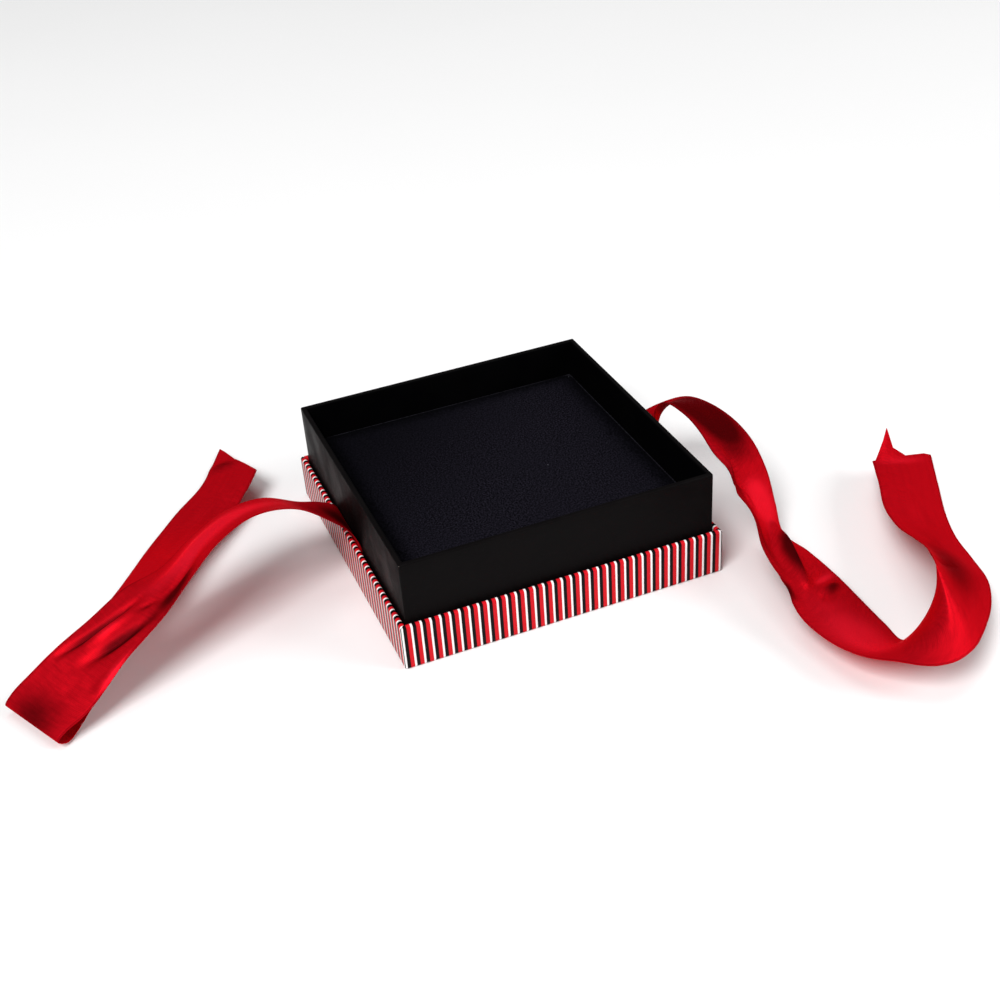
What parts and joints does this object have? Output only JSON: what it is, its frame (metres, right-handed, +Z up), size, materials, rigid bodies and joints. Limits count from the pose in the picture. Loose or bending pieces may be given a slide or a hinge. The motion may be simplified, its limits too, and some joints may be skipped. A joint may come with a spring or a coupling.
{
  "type": "jewellery gift box",
  "caption": "Square open gift box: shallow striped paper tray, taller black neck, sunken dark velvet pad, and a loose red ribbon leaving the slot on either side.",
  "frame": {"origin": "middle of the flat underside of the tray, on the surface the box stands on", "axes": "+Z up, +X to the box's right, -Y towards the front wall; the two ribbons leave the left and right walls"},
  "size_m": [0.2657, 0.1923, 0.0334],
  "materials": {
    "greyboard": "matte grey board",
    "kraft_tape": "brown gummed paper",
    "striped_paper": "printed red, white and black stripes, light satin",
    "black_paper": "black covering paper, low sheen",
    "white_card": "uncoated white card",
    "foam": "soft foam",
    "velvet": "short flocked pile, near black",
    "ribbon": "fine woven red ribbon, satin sheen"
  },
  "bodies": {
    "box": {"base_board": "greyboard", "base_corner_stay_front_left": "kraft_tape", "base_corner_stay_front_right": "kraft_tape", "base_corner_stay_back_left": "kraft_tape", "base_corner_stay_back_right": "kraft_tape", "base_wrap": "striped_paper", "base_sheet": "black_paper", "floor_liner": "black_paper", "neck_board": "greyboard", "neck_corner_tape": "kraft_tape", "neck_wrap": "black_paper", "ribbon_left_root": "ribbon", "ribbon_right_root": "ribbon"},
    "riser": {"riser": "white_card"},
    "pad": {"pad_card": "greyboard", "pad_foam": "foam", "pad_cover": "velvet"},
    "ribbon_left": {"ribbon_left_tail": "ribbon"},
    "ribbon_right": {"ribbon_right_tail": "ribbon"}
  },
  "joints": [
    {"name": "riser_lift", "type": "slide", "parent": "box", "child": "riser", "axis": [0, 0, 1], "range_m": [0, 0.035]},
    {"name": "pad_lift", "type": "slide", "parent": "riser", "child": "pad", "axis": [0, 0, 1], "range_m": [0, 0.035]},
    {"name": "ribbon_left_lift", "type": "hinge", "parent": "box", "child": "ribbon_left", "pos_m": [-0.0515, 0.003, 0.021], "axis": [-0.1859, 0.9565, -0.225], "range_deg": [0, 60]},
    {"name": "ribbon_right_lift", "type": "hinge", "parent": "box", "child": "ribbon_right", "pos_m": [0.0555, -0.004, 0.0285], "axis": [-0.814, -0.4147, 0.4067], "range_deg": [0, 60]}
  ]
}
